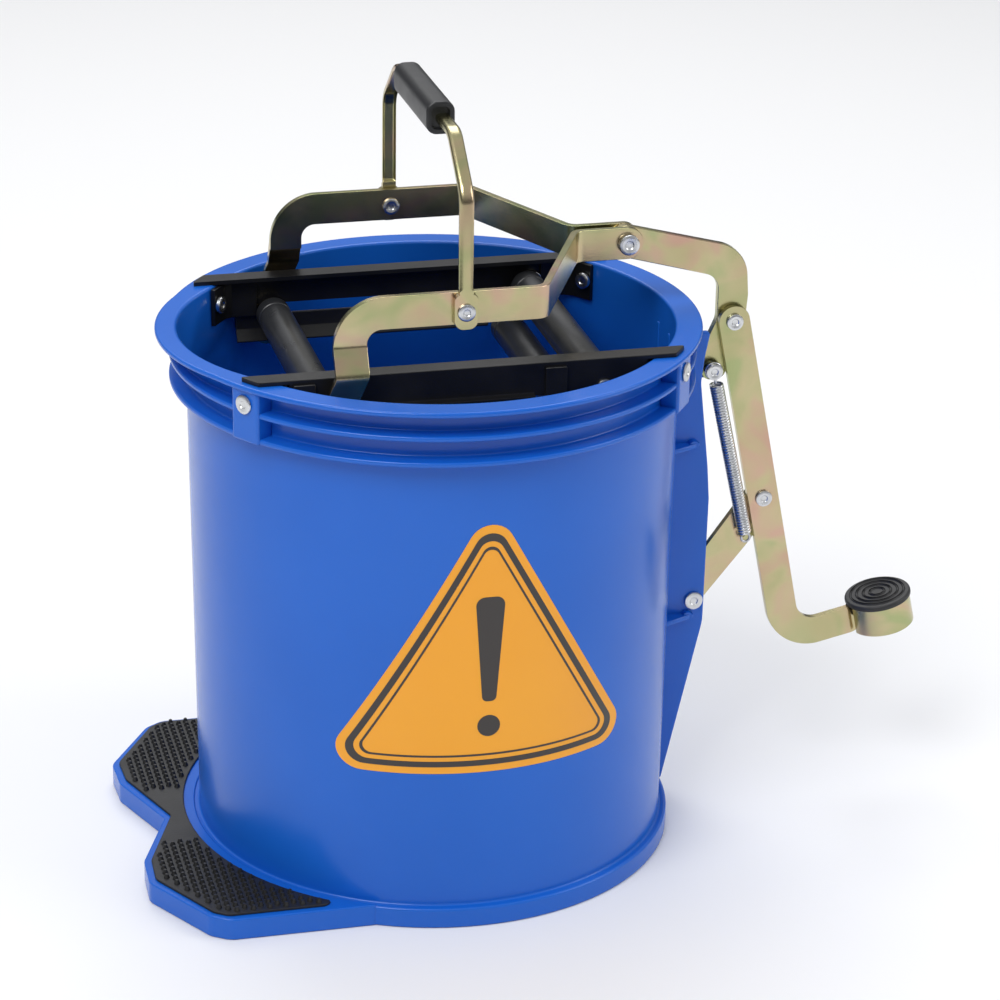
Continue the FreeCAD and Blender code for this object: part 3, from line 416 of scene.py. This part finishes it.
FIN = [(136.5, 14, 0), (141, 14, 0), (163.5, 116, 30), (164.5, 195, 0), (163, 215, 0), (157, 268, 20),
       (158.5, 283, 0), (161.5, 299, 2), (136.5, 299, 0)]
FIN_THICK = 4.0
for side, low in (("front", -13), ("rear", 9)):
    plate = slab(outline_points(FIN), on_xz(low), (0, FIN_THICK, 0), 0.9)
    as_piece("fin_" + side, plate, bucket_blue, "bucket")
LUG = [(150, 262.5, 0), (176, 262.5, 9.5), (176, 282.5, 9.5), (150, 282.5, 0)]
lug = slab(outline_points(LUG, 10), on_xz(9.2), (0, 3.7, 0), 0.6)
as_piece("pin_lug", lug, bucket_blue, "bucket")
GUSSET_HEIGHTS = (228.5, 119.5)
WEB = [(136.5, 24, 0), (138, 24, 0), (157, 15, 1), (157, 12, 0), (136.5, 12, 0)]
for number, z in enumerate(GUSSET_HEIGHTS):
    for side in (-1, 1):
        web = slab(outline_points([(x, y * side, r) for x, y, r in WEB], 3), on_xy(z), (0, 0, 3), 0.7)
        as_piece("gusset_%d_%d" % (number, side + 1), web, bucket_blue, "bucket")
        boss = bmesh.new()
        bmesh.ops.create_cone(boss, cap_ends=True, segments=28, radius1=3.5 * MM, radius2=3.1 * MM,
                              depth=3.4 * MM)
        outwards = Matrix.Rotation(math.radians(-90 * side), 3, "X")
        bmesh.ops.rotate(boss, verts=boss.verts[:], matrix=outwards, cent=(0, 0, 0))
        bmesh.ops.translate(boss, verts=boss.verts[:], vec=Vector((153, side * 14.6, z + 1.5)) * MM)
        as_piece("boss_%d_%d" % (number, side + 1), boss, bucket_blue, "bucket")

TREAD = [(-60, 129, 0), (-143, 129, 12), (-153.5, 122, 12), (-181, 76, 12), (-180, 50, 12), (-160.5, 0, 5)]


def both_sides(points):
    """An outline given for the rear half, closed through its mirror image."""
    return points + [(x, -y, r) for x, y, r in points[::-1] if y > 0]


def ring_edge(radius, start, end, count=28):
    """Points along an arc of the bucket's foot, between two bearings."""
    return [(radius * math.cos(math.radians(start + (end - start) * n / count)),
             radius * math.sin(math.radians(start + (end - start) * n / count))) for n in range(count + 1)]


tread_rim = outline_points(both_sides(TREAD), 8)
tread_start = math.degrees(math.atan2(-129, -60)) % 360
tread_arc = ring_edge(140.6, tread_start, math.degrees(math.atan2(129, -60)))
tread = slab(tread_rim + tread_arc, on_xy(0), (0, 0, FLOOR_TOP), 1.6)
as_piece("tread_block", tread, bucket_blue, "bucket")

# ---------------------------------------------------------------- tread pad
# A moulded rubber mat lies on the tread, cut to its outline and covered in small cones that
# grip a shoe. A bare border runs round it.

SOOT = (0.008, 0.008, 0.009)
DUSTY = (0.02, 0.02, 0.021)
rubber = finish_of("tread_rubber", SOOT, DUSTY, 0.5, 40.0, 700.0, 0.45, 0.2, 0.25)
MAT = [(-84, 125, 6), (-143, 125, 9), (-151, 119.5, 9), (-177, 75, 10), (-176, 52, 10), (-156.5, 0, 5)]
MAT_BORE = 147.2
mat_rim = [p for p in outline_points(both_sides(MAT), 6) if math.hypot(*p) > MAT_BORE + 0.1]
mat_ends = [math.degrees(math.atan2(y, x)) % 360 for x, y in (mat_rim[-1], mat_rim[0])]
mat_arc = ring_edge(MAT_BORE, mat_ends[0] - 0.3, mat_ends[1] + 0.3)
mat = slab(mat_rim + mat_arc, on_xy(FLOOR_TOP), (0, 0, 1.6), 0.5, 2)


def inside(point, ring):
    """Whether a point lies in a closed outline."""
    x, y = point
    hit = False
    for (ax, ay), (bx, by) in zip(ring, ring[1:] + ring[:1]):
        if (ay > y) != (by > y) and x < (bx - ax) * (y - ay) / (by - ay) + ax:
            hit = not hit
    return hit


def clear_of(point, ring, gap):
    """Whether a point keeps a distance from an outline."""
    here = Vector(point)
    for a, b in zip(ring, ring[1:] + ring[:1]):
        a, b = Vector(a), Vector(b)
        run = b - a
        t = max(0, min(1, (here - a).dot(run) / max(run.length_squared, 1e-9)))
        if (a + run * t - here).length < gap:
            return False
    return True


mat_ring = mat_rim + mat_arc
STUD_STEP = 5.4
STUD_MARGIN = 3.2
BARE_HALF = 35
for row in range(-24, 25):
    for column in range(22):
        spot = (-180 + STUD_STEP * 0.866 * column, STUD_STEP * (row + 0.5 * (column % 2)))
        if abs(spot[1]) > BARE_HALF and inside(spot, mat_ring) and clear_of(spot, mat_ring, STUD_MARGIN):
            place = Matrix.Translation(Vector((spot[0], spot[1], 15.7)) * MM)
            bmesh.ops.create_cone(mat, cap_ends=True, segments=10, radius1=1.9 * MM, radius2=0.9 * MM,
                                  depth=2.6 * MM, matrix=place)
as_piece("tread_mat", mat, rubber, "bucket", math.radians(30), ("tread_pad",))

# ---------------------------------------------------------------- front label
# A printed film triangle with round corners follows the wall. It has a thick and a thin dark
# border and a plain exclamation mark.

amber = finish_of("label_amber", (0.88, 0.36, 0.016), (0.91, 0.40, 0.022), 0.5, 12.0, 500.0, 0.32, 0.06, 0.04)
ink = plain("label_ink", (0.035, 0.03, 0.028), 0.35)
LABEL = [(1.5, 258.5), (91.9, 95.5), (-88.9, 95.5)]


def on_wall(x, z, lift):
    """A point of the wall's front, lifted off it."""
    radius = wall_at(z) + lift
    return Vector((x, -math.sqrt(radius * radius - x * x), z)) * MM


def label_ring(inset, radius):
    """The label's outline, moved in by a distance."""
    middle = Vector((sum(x for x, z in LABEL) / 3, sum(z for x, z in LABEL) / 3))
    moved = []
    for i in range(3):
        here = Vector(LABEL[i])
        into = (here - Vector(LABEL[i - 1])).normalized()
        away = (Vector(LABEL[(i + 1) % 3]) - here).normalized()
        bisector = (away - into).normalized()
        half = into.angle(away) / 2
        moved.append(here + bisector * (inset / math.cos(half)))
    return outline_points([(p.x, p.y, radius) for p in moved], 10)


def film(name, rings, lift, material, replaced=()):
    """Thin printed film between two outlines, or inside one, laid on the wall."""
    work = bmesh.new()
    edges = []
    for ring in rings:
        verts = [work.verts.new((x * MM, 0, z * MM)) for x, z in ring]
        edges += [work.edges.new(pair) for pair in zip(verts, verts[1:] + verts[:1])]
    bmesh.ops.triangle_fill(work, use_beauty=True, edges=edges)
    for step in range(-30, 40):
        bmesh.ops.bisect_plane(work, geom=work.verts[:] + work.edges[:] + work.faces[:], dist=1e-7,
                               plane_co=(step * 3.5 * MM, 0, 0), plane_no=(1, 0, 0))
    for vert in work.verts:
        vert.co = on_wall(vert.co.x / MM, vert.co.z / MM, lift)
    bmesh.ops.recalc_face_normals(work, faces=work.faces[:])
    if sum(face.normal.y for face in work.faces) > 0:
        bmesh.ops.reverse_faces(work, faces=work.faces[:])
    bmesh.ops.solidify(work, geom=work.faces[:], thickness=0.12 * MM)
    bmesh.ops.recalc_face_normals(work, faces=work.faces[:])
    return as_piece(name, work, material, "bucket", math.radians(30), replaced)


film("label_film", [label_ring(0, 13)], 0.22, amber, ("front_label",))
film("label_border", [label_ring(4.2, 9.5), label_ring(7.6, 7.2)], 0.36, ink)
film("label_line", [label_ring(10.2, 5.2), label_ring(11.4, 4.6)], 0.36, ink)
MARK = [(-7, 202, 5), (10, 202, 5), (5.4, 139, 3), (-2.4, 139, 3)]
film("label_mark", [outline_points(MARK)], 0.36, ink)
DOT_RADIUS = 6.5
dot = []
for n in range(24):
    turn = math.radians(15 * n)
    dot.append((1.5 + DOT_RADIUS * math.cos(turn), 124 + DOT_RADIUS * math.sin(turn)))
film("label_dot", [dot], 0.36, ink)

# ---------------------------------------------------------------- sheet-metal and turned steel pieces
# Rails, straps and brackets are folded strip with a black powder coat. The yoke, crank, lever
# and link are punched flat bar with yellow zinc plate, whose film shows olive, gold and pink.

JET = (0.006, 0.006, 0.007)
WORN_JET = (0.014, 0.014, 0.015)
powder_black = finish_of("rail_black", JET, WORN_JET, 0.6, 30.0, 1400.0, 0.32, 0.16, 0.22)
powder_black.node_tree.nodes["Principled BSDF"].inputs["Specular IOR Level"].default_value = 0.35
SILVER = (0.66, 0.67, 0.68)
DULL_SILVER = (0.5, 0.51, 0.53)
bright_zinc = finish_of("bright_zinc", SILVER, DULL_SILVER, 0.6, 60.0, 1500.0, 0.28, 0.16, 0.12, 1.0)


def yellow_zinc_material():
    """Yellow zinc plate: olive gold with drifting green and pink films."""
    material = finish_of("yellow_zinc", (0.38, 0.32, 0.16), (0.54, 0.46, 0.28), 0.8, 22.0, 1100.0,
                         0.24, 0.16, 0.10, 1.0)
    tree = material.node_tree
    shader = tree.nodes["Principled BSDF"]
    surface = [n for n in tree.nodes if n.type == "GROUP"][0]
    coords = tree.nodes.new("ShaderNodeTexCoord")
    film_noise = tree.nodes.new("ShaderNodeTexNoise")
    film_noise.inputs["Scale"].default_value = 26.0
    film_noise.inputs["Detail"].default_value = 2.0
    film_noise.inputs["Distortion"].default_value = 1.2
    tree.links.new(coords.outputs["Object"], film_noise.inputs["Vector"])
    hues = tree.nodes.new("ShaderNodeValToRGB")
    ramp = hues.color_ramp
    ramp.elements[0].position = 0.30
    ramp.elements[0].color = (0.33, 0.45, 0.20, 1)
    ramp.elements[1].position = 0.70
    ramp.elements[1].color = (0.66, 0.36, 0.33, 1)
    middle = ramp.elements.new(0.5)
    middle.color = (0.56, 0.50, 0.29, 1)
    tree.links.new(film_noise.outputs["Fac"], hues.inputs["Fac"])
    mix = tree.nodes.new("ShaderNodeMix")
    mix.data_type = "RGBA"
    mix.inputs["Factor"].default_value = 0.55
    tree.links.new(surface.outputs["Color"], mix.inputs["A"])
    tree.links.new(hues.outputs["Color"], mix.inputs["B"])
    tree.links.new(mix.outputs["Result"], shader.inputs["Base Color"])
    return material


yellow_zinc = yellow_zinc_material()


def dressed(node, material, bevel=0.4, dissolve=4, headed=False, shape=None):
    """A CAD node's shape, cleaned and with its sharp edges broken; a headed rivet gets a dimple."""
    work = bmesh.new()
    work.from_mesh(nodes[node].data)
    bmesh.ops.remove_doubles(work, verts=work.verts[:], dist=2e-6)
    bmesh.ops.dissolve_limit(work, angle_limit=math.radians(dissolve), use_dissolve_boundaries=False,
                             verts=work.verts[:], edges=work.edges[:])
    if shape:
        shape(work)
    ease(work, bevel, 2, 40)
    if headed:
        for cap in [f for f in work.faces if len(f.verts) > 12 and f.calc_area() > 1.2e-5]:
            for shrink, sink in ((0.82, 0.15), (0.6, -0.2), (0.8, -0.45), (0.55, -0.1)):
                bmesh.ops.inset_individual(work, faces=[cap], thickness=0, depth=0)
                middle, outward = cap.calc_center_median(), cap.normal.copy()
                for vert in cap.verts:
                    vert.co = middle + (vert.co - middle) * shrink + outward * sink * MM
    bmesh.ops.triangulate(work, faces=[f for f in work.faces if len(f.verts) > 4])
    body = nodes[node]["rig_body"]
    return as_piece(node + "_finished", work, material, body, math.radians(28), (node,))


for end in ("front", "rear"):
    for name in ("rail_", "guide_bar_", "bearing_plate_"):
        dressed(name + end, powder_black, 0.5)
    for side in ("left", "right"):
        dressed("rail_strap_%s_%s" % (end, side), powder_black, 0.4)
        dressed("rim_bracket_%s_%s" % (end, side), powder_black, 0.4)
        dressed("rim_rivet_%s_%s" % (end, side), bright_zinc, 0.9, headed=True)
    dressed("carriage_plate_" + end, yellow_zinc, 0.4)
    dressed("plate_spacer_" + end, bright_zinc, 0.3)
    dressed("handle_rivet_" + end, bright_zinc, 0.8, headed=True)
    dressed("yoke_arm_" + end, yellow_zinc, 0.45)
for name in ("axle_left_upper", "axle_left_lower", "axle_right_upper", "axle_right_lower", "yoke_bolt",
             "yoke_nut", "knee_rivet", "lever_rivet", "crank_pin", "link_pin"):
    dressed(name, bright_zinc, 0.6, headed=True)
for name in ("crank_bar", "foot_lever", "link_bar"):
    dressed(name, yellow_zinc, 0.45)

# ---------------------------------------------------------------- rollers
# Four moulded grey-black rollers, turned true, with a chamfer at each end and two shallow
# grooves where the mould's inserts met.

NYLON = (0.016, 0.017, 0.019)
SCUFFED_NYLON = (0.03, 0.031, 0.034)
roller_grey = finish_of("roller_grey", NYLON, SCUFFED_NYLON, 0.6, 30.0, 500.0, 0.30, 0.16, 0.15)
ROLLER_HALF = [(10, 69), (9.6, 69.4), (9.6, 70.6), (10, 71), (10, 80), (9, 81), (2.6, 81)]
ROLLER = [(r, -y) for r, y in ROLLER_HALF[::-1]] + ROLLER_HALF
ROLLER_PLACES = (("left_upper", -77.5, 295), ("left_lower", -65, 270),
                 ("right_upper", 76, 301), ("right_lower", 64, 277))
along_y = Matrix.Rotation(math.radians(-90), 3, "X")
for name, x, z in ROLLER_PLACES:
    drum = turned_mesh(ROLLER, 48)
    bmesh.ops.rotate(drum, verts=drum.verts[:], matrix=along_y, cent=(0, 0, 0))
    bmesh.ops.translate(drum, verts=drum.verts[:], vec=Vector((x, 0, z)) * MM)
    node = "roller_" + name
    body = nodes[node]["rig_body"]
    as_piece(node + "_turned", drum, roller_grey, body, math.radians(28), (node,))

# ---------------------------------------------------------------- pedal
# The lever's end curls round to a split ring, and a round rubber pad with a ribbed top is
# pressed into it by the plug on its underside.

BLACK_RUBBER = (0.014, 0.014, 0.015)
GREYED_RUBBER = (0.028, 0.028, 0.03)
pedal_rubber = finish_of("pedal_rubber", BLACK_RUBBER, GREYED_RUBBER, 0.5, 40.0, 800.0, 0.5, 0.2, 0.2)
PEDAL = Vector((278.3, -5.0, 109.8))
TILT = math.radians(12.6)
PAD_TOP = 12.0
pad_profile = [(0.01, 0.2), (14.8, 0.2), (14.8, 8.6), (20, 8.6), (20, PAD_TOP), (0.01, PAD_TOP)]
disc_section = rounded_section(pad_profile, [0, 0.8, 0.5, 0.8, 1.4, 0])
cushion = turned_mesh(disc_section, 72)
above_pad = Matrix.Translation(Vector((0, 0, PAD_TOP + 0.35)) * MM)
for ring in (4.5, 8.5, 12.5, 16.2):
    for side in (1, -1):
        bmesh.ops.create_cone(cushion, cap_ends=False, segments=48, radius1=(ring + 0.9 * side) * MM,
                              radius2=(ring + 0.45 * side) * MM, depth=0.9 * MM, matrix=above_pad)
pedal_turn = Matrix.Rotation(-TILT, 3, "Y")
bmesh.ops.rotate(cushion, verts=cushion.verts[:], matrix=pedal_turn, cent=(0, 0, 0))
bmesh.ops.translate(cushion, verts=cushion.verts[:], vec=PEDAL * MM)
as_piece("pedal_cushion", cushion, pedal_rubber, "lever", math.radians(30), ("pedal_pad",))

# ---------------------------------------------------------------- return spring
# A close-wound extension spring in bright wire, hooked on the crank pin and in the link's tab.

WIRE = 0.8
COIL = 3.5
spring_top = Vector((166.0, -6.9, 272.5))
spring_low = Vector((190.0, -6.9, 165.5))
run = spring_low - spring_top
axis = run.normalized()
TURNS = 56
STEPS = 14
coil_length = run.length - 12
spring = bmesh.new()
upright = Matrix.Translation(Vector((COIL, 0, 0)) * MM) @ Matrix.Rotation(math.radians(90), 4, "X")
bmesh.ops.create_circle(spring, segments=6, radius=WIRE * MM, matrix=upright)
climb = Vector((0, 0, coil_length / (TURNS * STEPS))) * MM
bmesh.ops.spin(spring, geom=spring.verts[:] + spring.edges[:], cent=(0, 0, 0), axis=(0, 0, 1),
               dvec=climb, angle=2 * math.pi * TURNS, steps=TURNS * STEPS)
bmesh.ops.holes_fill(spring, edges=[e for e in spring.edges if e.is_boundary], sides=6)
bmesh.ops.recalc_face_normals(spring, faces=spring.faces[:])
to_run = Vector((0, 0, 1)).rotation_difference(axis).to_matrix()
bmesh.ops.rotate(spring, verts=spring.verts[:], matrix=to_run, cent=(0, 0, 0))
bmesh.ops.translate(spring, verts=spring.verts[:], vec=(spring_top + axis * 8.5) * MM)


def hook(centre, start, sweep, stem, target):
    """A wire hook: an arc of wire round a pin."""
    first = Vector((math.cos(start), 0, math.sin(start)))
    ring = bmesh.ops.create_circle(target, segments=8, radius=WIRE * MM)["verts"]
    tangent = Vector((-math.sin(start), 0, math.cos(start)))
    turn_to = Vector((0, 0, 1)).rotation_difference(tangent).to_matrix()
    bmesh.ops.rotate(target, verts=ring, matrix=turn_to, cent=(0, 0, 0))
    bmesh.ops.translate(target, verts=ring, vec=(centre + first * stem) * MM)
    edges = list({e for v in ring for e in v.link_edges})
    bmesh.ops.spin(target, geom=ring + edges, cent=centre * MM, axis=(0, -1, 0), angle=sweep, steps=24)


HOOK_SWEEP = math.radians(285)
hook(spring_top, math.radians(-60), HOOK_SWEEP, 4.75, spring)
hook(spring_low, math.radians(-200), HOOK_SWEEP, 2.6, spring)
top_stem = (spring_top + axis * 4.6, spring_top + axis * 8.8)
low_stem = (spring_low - axis * 4.0, spring_low - axis * 2.5)
for start, end in (top_stem, low_stem):
    stem = bmesh.ops.create_cone(spring, cap_ends=True, segments=8, radius1=WIRE * MM, radius2=WIRE * MM,
                                 depth=(end - start).length * MM)["verts"]
    bmesh.ops.rotate(spring, verts=stem, matrix=to_run, cent=(0, 0, 0))
    bmesh.ops.translate(spring, verts=stem, vec=(start + end) / 2 * MM)
bmesh.ops.holes_fill(spring, edges=[e for e in spring.edges if e.is_boundary], sides=8)
bmesh.ops.recalc_face_normals(spring, faces=spring.faces[:])
spring_thing = shown("spring_coil", spring, bright_zinc, math.radians(60))
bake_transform(spring_thing)
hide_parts("return_spring")

# ---------------------------------------------------------------- carry handle
# A bow of channel steel in yellow zinc, riveted outside the yoke's arms, with a moulded grip
# pushed over its top.

FEET_TOP = 366.0


def channelled(work):
    """Round the bow's back and sink its inner face, above the flat feet."""
    geometry = work.verts[:] + work.edges[:] + work.faces[:]
    bmesh.ops.bisect_plane(work, geom=geometry, dist=1e-7, plane_co=(0, 0, FEET_TOP * MM), plane_no=(0, 0, 1))
    centre = Vector((0, 0, 380)) * MM

    def broad(face):
        return face.calc_center_median().z > FEET_TOP * MM and abs(face.normal.x) < 0.5

    def inward(face):
        away = face.calc_center_median() - centre
        return away.y * face.normal.y + away.z * face.normal.z < 0

    bmesh.ops.inset_region(work, faces=[f for f in work.faces if broad(f) and inward(f)], thickness=1.4 * MM,
                           depth=-2.0 * MM, use_even_offset=True)
    back = {f for f in work.faces if broad(f) and not inward(f)}
    long_edges = [e for e in work.edges if e.calc_face_angle(0) > math.radians(60)
                  and any(f in back for f in e.link_faces)
                  and all(v.co.z > (FEET_TOP - 0.1) * MM for v in e.verts)]
    ease(work, 2.2, 4, 60, long_edges)


dressed("carry_bail", yellow_zinc, 0.3, shape=channelled)
CHARCOAL = (0.012, 0.0125, 0.014)
SHINY_CHARCOAL = (0.022, 0.023, 0.025)
grip_black = finish_of("grip_black", CHARCOAL, SHINY_CHARCOAL, 0.5, 30.0, 600.0, 0.42, 0.15, 0.25)
GRIP = [(-14, 434.75, 6), (2, 434.75, 6), (2, 453.25, 6), (-14, 453.25, 6)]
grip = slab(outline_points(GRIP, 8), on_xz(-42), (0, 84, 0), 1.2)
ends = [f for f in grip.faces if abs(f.normal.y) > 0.99 and len(f.verts) > 12]
bmesh.ops.inset_individual(grip, faces=ends, thickness=1.6 * MM, depth=0)
bmesh.ops.inset_individual(grip, faces=ends, thickness=0.3 * MM, depth=-2.5 * MM)
as_piece("carry_grip_moulded", grip, grip_black, "handle", math.radians(28), ("carry_grip",))
